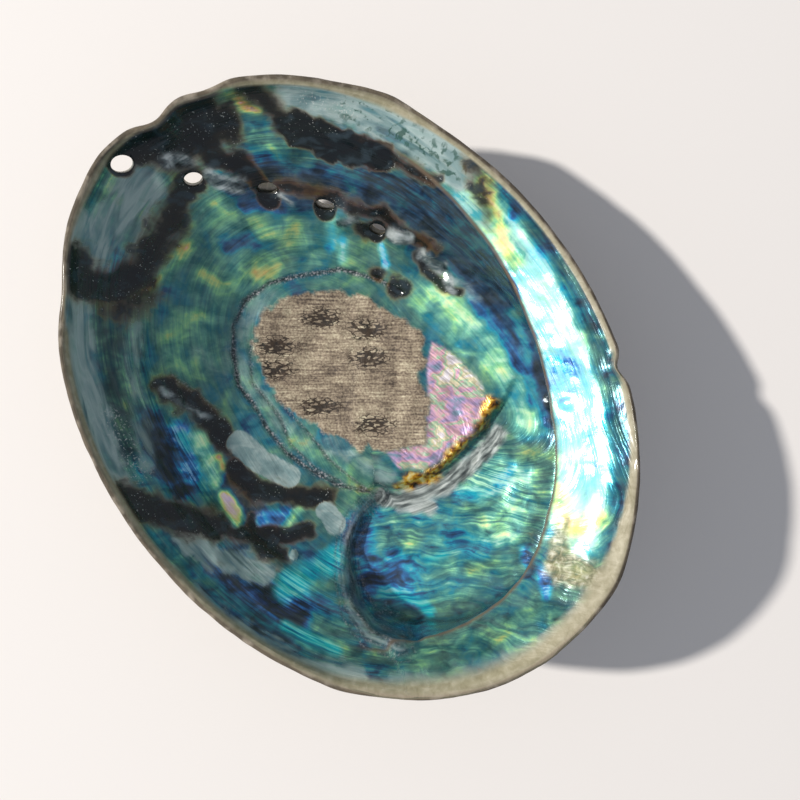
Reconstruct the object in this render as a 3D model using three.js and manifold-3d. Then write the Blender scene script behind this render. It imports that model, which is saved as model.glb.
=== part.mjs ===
// An abalone shell, as one closed solid: a ball pressed in on itself. The upper half of the ball becomes
// the mother-of-pearl bowl, the equator the rim, and the lower half the rough back. Five pores are then cut
// through. Millimetres. +Z is up and the bowl opens upwards, +X runs along the shell to its spire end, and
// +Y points to the side that carries the pore row and the shelf. The origin is under the middle of the
// outline, on the ground.

import * as THREE from "three";
import { mergeVertices } from "three/addons/utils/BufferGeometryUtils.js";
import Module from "manifold-3d";

// Driving dimensions
const LENGTH = 139.6; // along X, rim to rim
const WIDTH = 109.6; // along Y, rim to rim
const RIM_HEIGHT = 38.6; // mean height of the rim, which is a saddle
const SADDLE_RISE = 3.0; // the two ends stand this much above the mean, the two sides this much below
const SPIRE_RISE = 3.0; // the spire end stands higher than the growing end
const SHELF_DROP = 1.2; // the shelf side lies lower than the other
const FLOOR_HEIGHT = 6.4; // inner floor under the muscle, so the back is this thick in the middle
const CAVITY_DROP = 2.6; // step from the muscle's platform down into the spire cavity
const STEP_WIDTH = 3.0; // of that step
const HOLLOW = [8, 30]; // the step's drop has eased out between these distances past it
const FOLD_WIDTH = 5.0; // of the fold that bounds the spire cavity on its other side

// Mesh fineness
const SEGMENTS = 88;
const ROWS_PER_SPAN = 3;

// Low places and swellings of the rim: [degrees, half width in degrees, millimetres outwards]
const RIM_BUMPS = [
  [16, 8, 1.0],
  [55, 2.5, -1.6],
  [134, 8, 1.0],
  [168, 4, -1.3],
  [178, 4, -2.4],
  [190, 4, 0.4],
  [214, 8, -1.6],
  [320, 6, 0.6],
];

const BUMPS_REACH = [0.84, 1]; // they die out inwards between these shares of the rim radius

// Sections round the shell. Radii are shares of the rim radius and heights are millimetres. The lip is the
// inner edge of the shelf, the foot is where the wall under it meets the floor, the floor is measured at
// 0.4 of the radius, and the bulge hollows the wall out. The last three numbers are the back's radii at
// 0.6, 0.3 and 0.1 of the rim height.
const SECTIONS = [
  { deg: 0, lip: [0.815, 33.4], foot: [0.862, 13.5], floor: 7.6, bulge: 0.035, back: [0.962, 0.912, 0.75] },
  { deg: 25, lip: [0.76, 33.2], foot: [0.85, 13.0], floor: 7.4, bulge: 0.045, back: [0.95, 0.902, 0.755] },
  { deg: 50, lip: [0.74, 30.4], foot: [0.825, 13.0], floor: 7.4, bulge: 0.04, back: [0.932, 0.882, 0.74] },
  { deg: 72, lip: [0.755, 28.6], foot: [0.76, 13.5], floor: 7.4, bulge: 0.025, back: [0.885, 0.805, 0.66] },
  { deg: 92, lip: [0.79, 28.0], foot: [0.69, 13.5], floor: 7.6, bulge: 0.01, back: [0.85, 0.73, 0.57] },
  { deg: 113, lip: [0.83, 28.4], foot: [0.62, 13.0], floor: 7.8, bulge: 0, back: [0.815, 0.67, 0.51] },
  { deg: 133, lip: [0.875, 29.6], foot: [0.6, 15.0], floor: 8.3, bulge: 0, back: [0.825, 0.66, 0.49] },
  { deg: 151, lip: [0.9, 31.0], foot: [0.63, 17.5], floor: 9.0, bulge: 0, back: [0.845, 0.65, 0.47] },
  { deg: 170, lip: [0.912, 32.6], foot: [0.68, 20.0], floor: 9.4, bulge: 0, back: [0.872, 0.64, 0.45] },
  { deg: 190, lip: [0.916, 33.0], foot: [0.7, 20.0], floor: 9.6, bulge: 0, back: [0.882, 0.63, 0.43] },
  { deg: 232, lip: [0.915, 31.6], foot: [0.7, 18.6], floor: 9.4, bulge: 0, back: [0.888, 0.62, 0.42] },
  { deg: 290, lip: [0.912, 31.2], foot: [0.7, 17.6], floor: 9.0, bulge: 0, back: [0.895, 0.64, 0.44] },
  { deg: 316, lip: [0.905, 31.4], foot: [0.71, 16.6], floor: 8.4, bulge: 0, back: [0.922, 0.735, 0.51] },
  { deg: 325, lip: [0.88, 30.4], foot: [0.765, 13.4], floor: 8.0, bulge: 0, back: [0.938, 0.805, 0.58] },
  { deg: 341, lip: [0.865, 29.8], foot: [0.845, 14.0], floor: 7.8, bulge: 0.015, back: [0.953, 0.89, 0.68] },
];

// The fold that bounds the spire cavity: [share of the rim radius, degrees]. The bowl's section holds on
// the side of lower degrees and the cavity's on the other.
const FOLD_LINE = [
  [0.3, 336],
  [0.42, 331],
  [0.52, 324],
  [0.68, 321],
  [0.8, 324],
  [0.88, 330],
  [1, 334],
];
const FOLD_SIDES = [314, 325, 342]; // the bowl's section ends, the cavity's starts, the fold is past

// The edge of the muscle's platform over the cavity:
// [degrees, share of the rim radius, share of the full drop]
const PLATFORM_EDGE = [
  [-36, 0.36, 0],
  [-20, 0.37, 0.8],
  [2, 0.4, 1],
  [22, 0.45, 1],
  [38, 0.53, 0.9],
  [48, 0.61, 0.5],
  [62, 0.7, 0],
];

// Pores along the shoulder, from the youngest at the rim: where each comes out on the inner skin, its long
// and short half widths, how far its long side turns from +X, and which way it leans as it goes down.
const PORES = [
  { at: [-66.2, -9.0, 34.0], half: [2.4, 1.9], turn: 60, lean: [-0.6, -0.1] },
  { at: [-56.5, 0.6, 27.5], half: [2.1, 1.6], turn: 60, lean: [-0.52, 0.05] },
  { at: [-45.5, 11.6, 22.5], half: [2.3, 1.5], turn: 45, lean: [-0.85, 0.5] },
  { at: [-36.2, 20.4, 19.0], half: [2.3, 1.3], turn: 40, lean: [-0.4, 0.3] },
  { at: [-24.9, 26.8, 16.0], half: [2.0, 1.4], turn: 35, lean: [-0.3, 0.4] },
];
const PORE_DEPTH = 30;

const { lerp, smoothstep, euclideanModulo, degToRad, radToDeg } = THREE.MathUtils;

// The smooth curve between two of four neighbouring [place, value] stations.
function between([before, start, end, after], place) {
  const span = end[0] - start[0];
  const t = (place - start[0]) / span;
  const slopeIn = ((end[1] - before[1]) / (end[0] - before[0])) * span;
  const slopeOut = ((after[1] - start[1]) / (after[0] - start[0])) * span;
  const rise = end[1] - start[1];
  const bend = slopeIn + slopeOut - 2 * rise;
  return start[1] + t * (slopeIn + t * (3 * rise - 2 * slopeIn - slopeOut + t * bend));
}

// A value that changes smoothly and without a seam round the shell, from [degrees, value] stations.
function around(stations) {
  const count = stations.length;
  const station = (k) => {
    const [deg, value] = stations[euclideanModulo(k, count)];
    return [deg + 360 * Math.floor(k / count), value];
  };
  return (deg) => {
    const turned = euclideanModulo(deg - stations[0][0], 360) + stations[0][0];
    let k = 0;
    while (station(k + 1)[0] <= turned) k += 1;
    return between([-1, 0, 1, 2].map((step) => station(k + step)), turned);
  };
}

// The same along an open row of stations, level past its ends.
function along(stations, place) {
  const last = stations.length - 1;
  const held = THREE.MathUtils.clamp(place, stations[0][0], stations[last][0]);
  const k = Math.min(stations.findLastIndex(([start]) => start <= held), last - 1);
  const station = (i) => {
    const [at, value] = stations[THREE.MathUtils.clamp(i, 0, last)];
    return [at + (i < 0 ? -1 : 0) + (i > last ? 1 : 0), value];
  };
  return between([-1, 0, 1, 2].map((step) => station(k + step)), held);
}

const column = (read) => around(SECTIONS.map((row) => [row.deg, read(row)]));
const section = {
  lipRadius: column((row) => row.lip[0]),
  lipHeight: column((row) => row.lip[1]),
  footRadius: column((row) => row.foot[0]),
  footHeight: column((row) => row.foot[1]),
  floorHeight: column((row) => row.floor),
  bulge: column((row) => row.bulge),
  backSide: column((row) => row.back[0]),
  backShoulder: column((row) => row.back[1]),
  backBase: column((row) => row.back[2]),
};

function ellipseRadius(deg) {
  const a = LENGTH / 2;
  const b = WIDTH / 2;
  const turn = degToRad(deg);
  return (a * b) / Math.hypot(b * Math.cos(turn), a * Math.sin(turn));
}

function rimBump(deg) {
  return RIM_BUMPS.reduce((sum, [centre, halfWidth, out]) => {
    const away = euclideanModulo(deg - centre + 180, 360) - 180;
    return sum + out * Math.exp(-((away / halfWidth) ** 2));
  }, 0);
}

function rimHeight(deg) {
  const turn = degToRad(deg);
  const along = Math.cos(turn);
  const saddle = SADDLE_RISE * Math.cos(2 * turn);
  return RIM_HEIGHT + saddle + SPIRE_RISE * along - SHELF_DROP * Math.sin(turn);
}

// The section of the shell at one compass direction, from the middle of the floor out over the lip and the
// shelf to the rim, and back under to the middle of the base. The inside may take its form from another
// direction.
function sectionCurve(deg, inside) {
  const height = rimHeight(deg);
  const lip = new THREE.Vector2(section.lipRadius(inside), section.lipHeight(inside));
  const foot = new THREE.Vector2(section.footRadius(inside), section.footHeight(inside));
  const floor = new THREE.Vector2(0.4, section.floorHeight(inside));
  const bulge = section.bulge(inside);
  const wall = (share, out) => foot.clone().lerp(lip, share).add(new THREE.Vector2(out, 0));
  const side = section.backSide(deg);
  const base = section.backBase(deg);
  return new THREE.SplineCurve([
    new THREE.Vector2(0, FLOOR_HEIGHT),
    new THREE.Vector2(0.2, lerp(FLOOR_HEIGHT, floor.y, 0.2)),
    floor,
    new THREE.Vector2(lerp(floor.x, foot.x, 0.52), lerp(floor.y, foot.y, 0.38)),
    foot,
    wall(0.4, bulge),
    wall(0.85, bulge / 2),
    lip,
    new THREE.Vector2(lerp(lip.x, 1, 0.5), lerp(lip.y, height, 0.52)),
    new THREE.Vector2(0.973, height - 0.6),
    new THREE.Vector2(0.99, height),
    new THREE.Vector2(1, height - 1.2),
    new THREE.Vector2(lerp(1, side, 0.26), height * 0.84),
    new THREE.Vector2(side, height * 0.6),
    new THREE.Vector2(section.backShoulder(deg), height * 0.3),
    new THREE.Vector2(base, height * 0.1),
    new THREE.Vector2(base * 0.5, 0),
    new THREE.Vector2(0, 0),
  ]);
}
const SPANS = 17;
const RIM_SPAN = 9; // spans before this one are the inner skin

// A point of the skin. Within the fold's two sides it passes from the bowl's section to the cavity's.
function skinPoint(deg, down) {
  const turned = euclideanModulo(deg, 360);
  const [near, far, past] = FOLD_SIDES;
  if (turned <= near || turned >= past) return sectionCurve(deg, deg).getPoint(down);
  const bowl = sectionCurve(deg, near).getPoint(down);
  const cavity = sectionCurve(deg, Math.max(turned, far)).getPoint(down);
  const radius = Math.max(bowl.x * ellipseRadius(deg), FOLD_WIDTH);
  const halfWidth = radToDeg(FOLD_WIDTH / 2 / radius);
  const line = along(FOLD_LINE, bowl.x);
  return bowl.lerp(cavity, smoothstep(turned, line - halfWidth, line + halfWidth));
}

// How far the floor steps down past the edge of the muscle's platform.
function cavityDrop(deg, radius) {
  const turned = euclideanModulo(deg + 180, 360) - 180;
  const edge = along(PLATFORM_EDGE.map(([d, share]) => [d, share]), turned) * ellipseRadius(deg);
  const depth = along(PLATFORM_EDGE.map(([d, , share]) => [d, share]), turned) * CAVITY_DROP;
  const past = radius - edge;
  return depth * smoothstep(past, 0, STEP_WIDTH) * (1 - smoothstep(past, ...HOLLOW));
}

function pressedBall() {
  const ball = new THREE.SphereGeometry(1, SEGMENTS, SPANS * ROWS_PER_SPAN).rotateX(Math.PI / 2);
  ball.deleteAttribute("normal");
  ball.deleteAttribute("uv");
  const skin = mergeVertices(ball);
  const place = skin.getAttribute("position");
  const point = new THREE.Vector3();
  for (let i = 0; i < place.count; i += 1) {
    point.fromBufferAttribute(place, i);
    const deg = radToDeg(Math.atan2(point.y, point.x));
    const down = Math.acos(THREE.MathUtils.clamp(point.z, -1, 1)) / Math.PI;
    const { x: share, y: height } = skinPoint(deg, down);
    const radius = share * ellipseRadius(deg) + rimBump(deg) * smoothstep(share, ...BUMPS_REACH);
    const drop = down * SPANS < RIM_SPAN ? cavityDrop(deg, radius) : 0;
    const turn = degToRad(deg);
    place.setXYZ(i, radius * Math.cos(turn), radius * Math.sin(turn), Math.max(0, height - drop));
  }
  return skin;
}

const wasm = await Module();
wasm.setup();

function solid(geometry) {
  const merged = mergeVertices(geometry);
  return new wasm.Manifold(
    new wasm.Mesh({
      numProp: 3,
      vertProperties: merged.getAttribute("position").array,
      triVerts: new Uint32Array(merged.index.array),
    }),
  );
}

function poreCutter({ at, half, turn, lean }) {
  const bar = new THREE.CylinderGeometry(1, 1, PORE_DEPTH, 16).rotateX(Math.PI / 2);
  bar.deleteAttribute("normal");
  bar.deleteAttribute("uv");
  const out = new THREE.Vector3(lean[0], lean[1], -1).normalize();
  const lie = new THREE.Quaternion().setFromUnitVectors(new THREE.Vector3(0, 0, -1), out);
  bar.scale(half[0], half[1], 1);
  bar.rotateZ(degToRad(turn));
  bar.applyQuaternion(lie);
  bar.translate(...at);
  return solid(bar);
}

function shellGeometry() {
  const pierced = PORES.reduce((body, pore) => body.subtract(poreCutter(pore)), solid(pressedBall()));
  const { vertProperties, triVerts } = pierced.getMesh();
  const geometry = new THREE.BufferGeometry();
  geometry.setAttribute("position", new THREE.BufferAttribute(vertProperties, 3));
  geometry.setIndex(new THREE.BufferAttribute(triVerts, 1));
  geometry.computeBoundingBox();
  const middle = geometry.boundingBox.getCenter(new THREE.Vector3());
  geometry.translate(-middle.x, -middle.y, 0);
  geometry.computeVertexNormals();
  return geometry;
}

const nacre = new THREE.MeshStandardMaterial({
  name: "nacre",
  color: 0x3f7f80,
  roughness: 0.3,
  metalness: 0.4,
});
const shell = new THREE.Mesh(shellGeometry(), nacre);
shell.name = "shell";

const abalone = new THREE.Group();
abalone.add(shell);

export default abalone;
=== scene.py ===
# %% [markdown]
# # An abalone shell, lying open like a bowl
# The shell grew as one piece, so one mesh stands for all of it: the mother-of-pearl inside, the horn-coloured
# rim and the crusted back. The imported part gives its place and size. First that part is loaded and its box is
# kept, so that the finished mesh can be clipped to it.

# %% Load the imported part
import math

import bpy
import numpy as np
from mathutils import Matrix, Vector, kdtree, noise


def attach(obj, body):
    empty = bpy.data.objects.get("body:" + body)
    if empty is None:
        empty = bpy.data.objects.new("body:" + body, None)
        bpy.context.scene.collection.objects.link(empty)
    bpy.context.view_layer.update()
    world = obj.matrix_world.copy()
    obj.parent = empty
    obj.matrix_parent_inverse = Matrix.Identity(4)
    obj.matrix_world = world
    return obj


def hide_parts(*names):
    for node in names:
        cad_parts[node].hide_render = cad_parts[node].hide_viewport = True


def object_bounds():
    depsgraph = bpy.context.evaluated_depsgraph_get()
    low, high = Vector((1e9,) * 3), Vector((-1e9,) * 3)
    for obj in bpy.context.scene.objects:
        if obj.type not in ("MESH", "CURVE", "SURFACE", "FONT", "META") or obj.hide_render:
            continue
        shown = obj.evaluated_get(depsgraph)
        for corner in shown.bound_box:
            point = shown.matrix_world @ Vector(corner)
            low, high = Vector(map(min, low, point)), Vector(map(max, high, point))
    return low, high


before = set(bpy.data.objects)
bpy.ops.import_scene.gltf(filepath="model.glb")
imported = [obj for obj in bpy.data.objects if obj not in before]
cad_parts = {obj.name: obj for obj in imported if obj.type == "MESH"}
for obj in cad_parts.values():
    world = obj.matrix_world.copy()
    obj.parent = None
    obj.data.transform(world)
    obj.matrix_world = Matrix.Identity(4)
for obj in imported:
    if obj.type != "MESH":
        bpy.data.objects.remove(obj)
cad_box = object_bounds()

MM = 0.001  # the script's shapes are in millimetres, and Blender's in metres
print("part's box in mm:", [[round(v / MM, 2) for v in corner] for corner in cad_box])

# %% [markdown]
# ## Camera
# A shell like this is looked at from straight above and from close by, so its rim leans outwards in the view.
# A long lens from far off would flatten it. The camera hangs a little towards the shelf side of the middle.

# %% Camera
CAMERA_PLACE = (9.9, 6.7, 205.0)
CAMERA_ROLL = 52.0  # degrees; the long axis of the shell runs down to the right
SENSOR = 36.0
LENS = 36.09
NEAREST_SEEN = 0.01  # metres

camera_data = bpy.data.cameras.new("camera")
camera_data.sensor_width = SENSOR
camera_data.lens = LENS
camera_data.clip_start = NEAREST_SEEN
camera = bpy.data.objects.new("camera", camera_data)
camera.location = [v * MM for v in CAMERA_PLACE]
camera.rotation_euler = (0, 0, math.radians(CAMERA_ROLL))
bpy.context.scene.collection.objects.link(camera)
bpy.context.scene.camera = camera
print("camera", CAMERA_PLACE[2], "mm above the floor, lens", LENS, "mm")

# %% [markdown]
# ## Lamp
# One lamp stands low beside the growing end. A wide soft box would be kinder, but mother-of-pearl only shows
# its fire where it mirrors a light, so the lamp is small and its place matters more than its power.

# %% Lamp
LAMP_COMPASS = math.radians(224.3)  # where the lamp stands, seen from the shell
LAMP_HEIGHT = math.radians(40.0)
LAMP_DISTANCE = 2.5
LAMP_SIZE = 0.11
LAMP_WATTS = 74.0
WARM_WHITE = (1.0, 0.965, 0.92)
lamp_data = bpy.data.lights.new("soft_lamp", "AREA")
lamp_data.shape = "DISK"
lamp_data.size = LAMP_SIZE
lamp_data.energy = LAMP_WATTS
lamp_data.color = WARM_WHITE
lamp = bpy.data.objects.new("soft_lamp", lamp_data)
flat = math.cos(LAMP_HEIGHT) * LAMP_DISTANCE
lamp.location = (flat * math.cos(LAMP_COMPASS), flat * math.sin(LAMP_COMPASS),
                 math.sin(LAMP_HEIGHT) * LAMP_DISTANCE)
lamp.rotation_euler = (-lamp.location).to_track_quat("-Z", "Y").to_euler()
bpy.context.scene.collection.objects.link(lamp)
print("lamp at", [round(v, 2) for v in lamp.location], "m")

# %% [markdown]
# ## Colours and nodes
# Colours are written as sRGB hex, the way a paint chart gives them, and one function turns them linear. One
# more adds a shader node of any kind with its settings and links, which keeps a long material readable.

# %% Colours and nodes


def linear(hex_colour):
    """An sRGB hex colour as the linear RGBA that Blender's nodes expect."""
    parts = [int(hex_colour[i : i + 2], 16) / 255 for i in (1, 3, 5)]
    return [c / 12.92 if c <= 0.04045 else ((c + 0.055) / 1.055) ** 2.4 for c in parts] + [1.0]


def add(tree, kind, links=None, stops=None, **settings):
    """Adds one node. links maps each input to a socket or a value, and stops fill a colour ramp."""
    node = tree.nodes.new(kind)
    for name, value in settings.items():
        setattr(node, name, value)
    for name, source in (links or {}).items():
        if isinstance(source, bpy.types.NodeSocket):
            tree.links.new(source, node.inputs[name])
        else:
            node.inputs[name].default_value = source
    if stops:
        ramp = node.color_ramp
        while len(ramp.elements) < len(stops):
            ramp.elements.new(0.5)
        for element, (place, colour) in zip(ramp.elements, stops):
            element.position = place
            element.color = linear(colour) if isinstance(colour, str) else (colour, colour, colour, 1)
    return node


def new_material(name):
    """An empty node material, and its tree."""
    material = bpy.data.materials.new(name)
    material.use_nodes = True
    material.node_tree.nodes.clear()
    return material, material.node_tree

# %% [markdown]
# ## Sky and floor
# A plain pale sky fills the shadows, and the shell lies on white card. The card is nearly all diffuse, so the
# eye reads it as paper and looks at the shell.

# %% Sky and floor
SKY_STRENGTH = 0.55
FLOOR_SIZE = 4.0
world = bpy.data.worlds.new("pale_sky")
world.use_nodes = True
world.node_tree.nodes["Background"].inputs["Color"].default_value = linear("#c9cfdb")
world.node_tree.nodes["Background"].inputs["Strength"].default_value = SKY_STRENGTH
bpy.context.scene.world = world
bpy.context.scene.view_settings.view_transform = "Standard"

bpy.ops.object.select_all(action="DESELECT")
bpy.ops.mesh.primitive_plane_add(size=FLOOR_SIZE, location=(0, 0, 0))
floor = bpy.context.object
floor.name = "floor"
paper, tree = new_material("matt_white_card")
shader = add(tree, "ShaderNodeBsdfPrincipled", {"Base Color": linear("#ece7e2"), "Roughness": 0.9})
add(tree, "ShaderNodeOutputMaterial", {"Surface": shader.outputs[0]})
floor.data.materials.append(paper)

# %% [markdown]
# ## The shell's own measures
# The outline is an ellipse with a few low places and swellings. Round it stand sections, each a curve from
# the middle of the floor over the inner lip of the shelf to the rim, and back under the shell. They are the
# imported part's own sections, so the fine mesh lies close to the coarse one. Only the step and the fold at the
# cavity are drawn sharper here, because a fine mesh can hold them.

# %% Measures
LENGTH, WIDTH = 139.6, 109.6
RIM_HEIGHT, SADDLE_RISE, SPIRE_RISE, SHELF_DROP = 38.6, 3.0, 3.0, 1.2
FLOOR_HEIGHT = 6.4
CAVITY_DROP, STEP_WIDTH, HOLLOW = 2.6, 2.2, (8, 30)
FOLD_WIDTH = 2.6

RIM_BUMPS = [(16, 8, 1.0), (55, 2.5, -1.6), (134, 8, 1.0), (168, 4, -1.3), (178, 4, -2.4), (190, 4, 0.4),
             (214, 8, -1.6), (320, 6, 0.6)]
BUMPS_REACH = (0.84, 1)  # the rim's bumps die out inwards between these shares of its radius

# degrees | lip radius, height | foot radius, height | floor height | bulge |
# the back's radii at 0.6, 0.3 and 0.1 of the rim's height
SECTIONS = np.array([
    (0, 0.815, 33.4, 0.862, 13.5, 7.6, 0.035, 0.962, 0.912, 0.75),
    (25, 0.76, 33.2, 0.85, 13.0, 7.4, 0.045, 0.95, 0.902, 0.755),
    (50, 0.74, 30.4, 0.825, 13.0, 7.4, 0.04, 0.932, 0.882, 0.74),
    (72, 0.755, 28.6, 0.76, 13.5, 7.4, 0.025, 0.885, 0.805, 0.66),
    (92, 0.79, 28.0, 0.69, 13.5, 7.6, 0.01, 0.85, 0.73, 0.57),
    (113, 0.83, 28.4, 0.62, 13.0, 7.8, 0, 0.815, 0.67, 0.51),
    (133, 0.875, 29.6, 0.6, 15.0, 8.3, 0, 0.825, 0.66, 0.49),
    (151, 0.9, 31.0, 0.63, 17.5, 9.0, 0, 0.845, 0.65, 0.47),
    (170, 0.912, 32.6, 0.68, 20.0, 9.4, 0, 0.872, 0.64, 0.45),
    (190, 0.916, 33.0, 0.7, 20.0, 9.6, 0, 0.882, 0.63, 0.43),
    (232, 0.915, 31.6, 0.7, 18.6, 9.4, 0, 0.888, 0.62, 0.42),
    (290, 0.912, 31.2, 0.7, 17.6, 9.0, 0, 0.895, 0.64, 0.44),
    (316, 0.905, 31.4, 0.71, 16.6, 8.4, 0, 0.922, 0.735, 0.51),
    (325, 0.88, 30.4, 0.765, 13.4, 8.0, 0, 0.938, 0.805, 0.58),
    (341, 0.865, 29.8, 0.845, 14.0, 7.8, 0.015, 0.953, 0.89, 0.68),
])
FOLD_LINE = np.array([(0.3, 336.0), (0.42, 331), (0.52, 324), (0.68, 321), (0.8, 324), (0.88, 330), (1, 334)])
FOLD_SIDES = (314, 325, 342)
PLATFORM_EDGE = np.array([(-36.0, 0.36, 0), (-20, 0.37, 0.8), (2, 0.4, 1), (22, 0.45, 1), (38, 0.53, 0.9),
                          (48, 0.61, 0.5), (62, 0.7, 0)])
SPANS = 17  # stretches of one section's curve
RIM_SPAN = 9.6  # the crest of the rim lies here along the curve
print("shell", LENGTH, "x", WIDTH, "mm,", len(SECTIONS), "sections")

# %% [markdown]
# ## From measures to a skin
# Each section runs smoothly through its points, and between two sections the measures slide smoothly round
# the compass. The fold beside the cavity crosses the sections at a slant, so it is blended along its own line.
# The platform's edge is a step that sinks into the cavity.

# %% The skin's shape


def smooth(value, low, high):
    """0 below low, 1 above high, and a soft S between them."""
    t = np.clip((value - low) / (high - low), 0, 1)
    return t * t * (3 - 2 * t)


def mix(start, end, amount):
    return start + (end - start) * amount


def follow(places, values, at):
    """A smooth curve through stations in order of place, with slopes from the stations beside."""
    slopes = np.gradient(values)
    slopes[1:-1] = (values[2:] - values[:-2]) / (places[2:] - places[:-2])
    slopes[0] = (values[1] - values[0]) / (places[1] - places[0] + 1)
    slopes[-1] = (values[-1] - values[-2]) / (places[-1] - places[-2] + 1)
    at = np.clip(at, places[0], places[-1])
    k = np.clip(np.searchsorted(places, at, side="right") - 1, 0, len(places) - 2)
    span = places[k + 1] - places[k]
    t = (at - places[k]) / span
    start, end, rise = slopes[k] * span, slopes[k + 1] * span, values[k + 1] - values[k]
    return values[k] + t * (start + t * (3 * rise - 2 * start - end + t * (start + end - 2 * rise)))


def around(column, deg):
    """One column of the sections at any compass direction, without a seam."""
    stations, values = SECTIONS[:, 0], SECTIONS[:, column]
    places = np.concatenate([stations[-3:] - 360, stations, stations[:4] + 360])
    return follow(places, np.concatenate([values[-3:], values, values[:4]]), np.mod(deg, 360))


def ellipse_radius(deg):
    turn = np.radians(deg)
    half_length, half_width = LENGTH / 2, WIDTH / 2
    return half_length * half_width / np.hypot(half_width * np.cos(turn), half_length * np.sin(turn))


def rim_bump(deg):
    out = 0 * deg
    for centre, half_width, height in RIM_BUMPS:
        away = np.mod(deg - centre + 180, 360) - 180
        out = out + height * np.exp(-((away / half_width) ** 2))
    return out


def rim_height(deg):
    turn = np.radians(deg)
    rise = SADDLE_RISE * np.cos(2 * turn) + SPIRE_RISE * np.cos(turn)
    return RIM_HEIGHT + rise - SHELF_DROP * np.sin(turn)


def section_points(deg, inside):
    """The 18 points of each section's curve: (share of the rim radius, height) for every direction."""
    height = rim_height(deg)
    lip_r, lip_z, foot_r, foot_z, floor_z, bulge = [around(c, inside) for c in range(1, 7)]
    side, shoulder, base = [around(c, deg) for c in range(7, 10)]
    one = np.ones_like(height)
    return np.array([
        (0 * one, FLOOR_HEIGHT * one),
        (0.2 * one, mix(FLOOR_HEIGHT, floor_z, 0.2)),
        (0.4 * one, floor_z),
        (mix(0.4, foot_r, 0.52), mix(floor_z, foot_z, 0.38)),
        (foot_r, foot_z),
        (mix(foot_r, lip_r, 0.4) + bulge, mix(foot_z, lip_z, 0.4)),
        (mix(foot_r, lip_r, 0.85) + bulge / 2, mix(foot_z, lip_z, 0.85)),
        (lip_r, lip_z),
        (mix(lip_r, 1, 0.5), mix(lip_z, height, 0.52)),
        (0.973 * one, height - 0.6),
        (0.99 * one, height),
        (one, height - 1.2),
        (mix(1, side, 0.26), height * 0.84),
        (side, height * 0.6),
        (shoulder, height * 0.3),
        (base, height * 0.1),
        (base * 0.5, 0 * one),
        (0 * one, 0 * one),
    ])


def curve_at(points, place):
    """A smooth curve through each section's points, at a place from 0 to SPANS along it."""
    k = np.clip(np.floor(place).astype(int), 0, SPANS - 1)
    t = (place - k)[:, None]
    column = np.arange(points.shape[2])
    before, start, end, after = [points[np.clip(k + step, 0, SPANS), :, column] for step in (-1, 0, 1, 2)]
    slope_in, slope_out = (end - before) / 2, (after - start) / 2
    return start + t * (slope_in + t * (3 * (end - start) - 2 * slope_in - slope_out
                                        + t * (2 * (start - end) + slope_in + slope_out)))


def skin(deg, place):
    """Radius and height of the bare shell, in millimetres."""
    radius = ellipse_radius(deg)
    near, far, past = FOLD_SIDES
    plain = curve_at(section_points(deg, deg), place)
    bowl = curve_at(section_points(deg, near + 0 * deg), place)
    cavity = curve_at(section_points(deg, np.maximum(deg, far)), place)
    half = np.degrees(FOLD_WIDTH / 2 / np.maximum(bowl[:, 0] * radius, 12))
    line = follow(*FOLD_LINE.T, bowl[:, 0])
    folded = mix(bowl, cavity, smooth(deg, line - half, line + half)[:, None])
    section = np.where(((deg > near) & (deg < past))[:, None], folded, plain)
    out, height = section[:, 0] * radius, section[:, 1]
    out = out + rim_bump(deg) * smooth(section[:, 0], *BUMPS_REACH)
    turned = np.mod(deg + 180, 360) - 180
    edge = follow(PLATFORM_EDGE[:, 0], PLATFORM_EDGE[:, 1], turned) * radius
    depth = follow(PLATFORM_EDGE[:, 0], PLATFORM_EDGE[:, 2], turned) * CAVITY_DROP
    drop = depth * smooth(out - edge, 0, STEP_WIDTH) * (1 - smooth(out - edge, *HOLLOW))
    return out, np.maximum(0, height - np.where(place < 9, drop, 0))


# %% [markdown]
# ## Pressing the ball
# A bowl with a thick rolled edge could be spun or lofted, but both leave a hole to close. Here a UV sphere is
# pressed in on itself: its upper rings become the inside, its equator region the rim, and its lower rings the
# back. The mesh stays closed and its faces keep pointing outwards, whatever shape the rings are moved to.

# %% Press a ball into a shell
SEGMENTS = 480
# Rings given to each span of the section curve: many inside, where the light plays, and few under the base
RINGS_IN_SPAN = [19, 20, 17, 17, 17, 16, 9, 15, 12, 3, 4, 6, 7, 10, 11, 10, 7]
RINGS = sum(RINGS_IN_SPAN)

bpy.ops.object.select_all(action="DESELECT")
bpy.ops.mesh.primitive_uv_sphere_add(segments=SEGMENTS, ring_count=RINGS, radius=1, location=(0, 0, 0))
shell = bpy.context.object
shell.name = "pearl_shell"
ball = np.empty(len(shell.data.vertices) * 3)
shell.data.vertices.foreach_get("co", ball)
ball = ball.reshape(-1, 3)

deg = np.mod(np.degrees(np.arctan2(ball[:, 1], ball[:, 0])), 360)
ring = np.arccos(np.clip(ball[:, 2], -1, 1)) / math.pi * RINGS
place = np.interp(ring, np.concatenate([[0], np.cumsum(RINGS_IN_SPAN)]), np.arange(SPANS + 1))
radius, height = skin(deg, place)
turn = np.radians(deg)
points = np.c_[radius * np.cos(turn), radius * np.sin(turn), height]
points[:, :2] -= (points[:, :2].min(0) + points[:, :2].max(0)) / 2
print("pressed ball:", len(points), "points,", np.round(np.ptp(points, 0), 2), "mm")


def put(obj, co):
    """Moves an object's points, given in millimetres."""
    obj.data.vertices.foreach_set("co", (co * MM).ravel())
    obj.data.update()


def normals_of(obj):
    out = np.empty(len(obj.data.vertices) * 3)
    obj.data.vertices.foreach_get("normal", out)
    return out.reshape(-1, 3)


put(shell, points)

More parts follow.
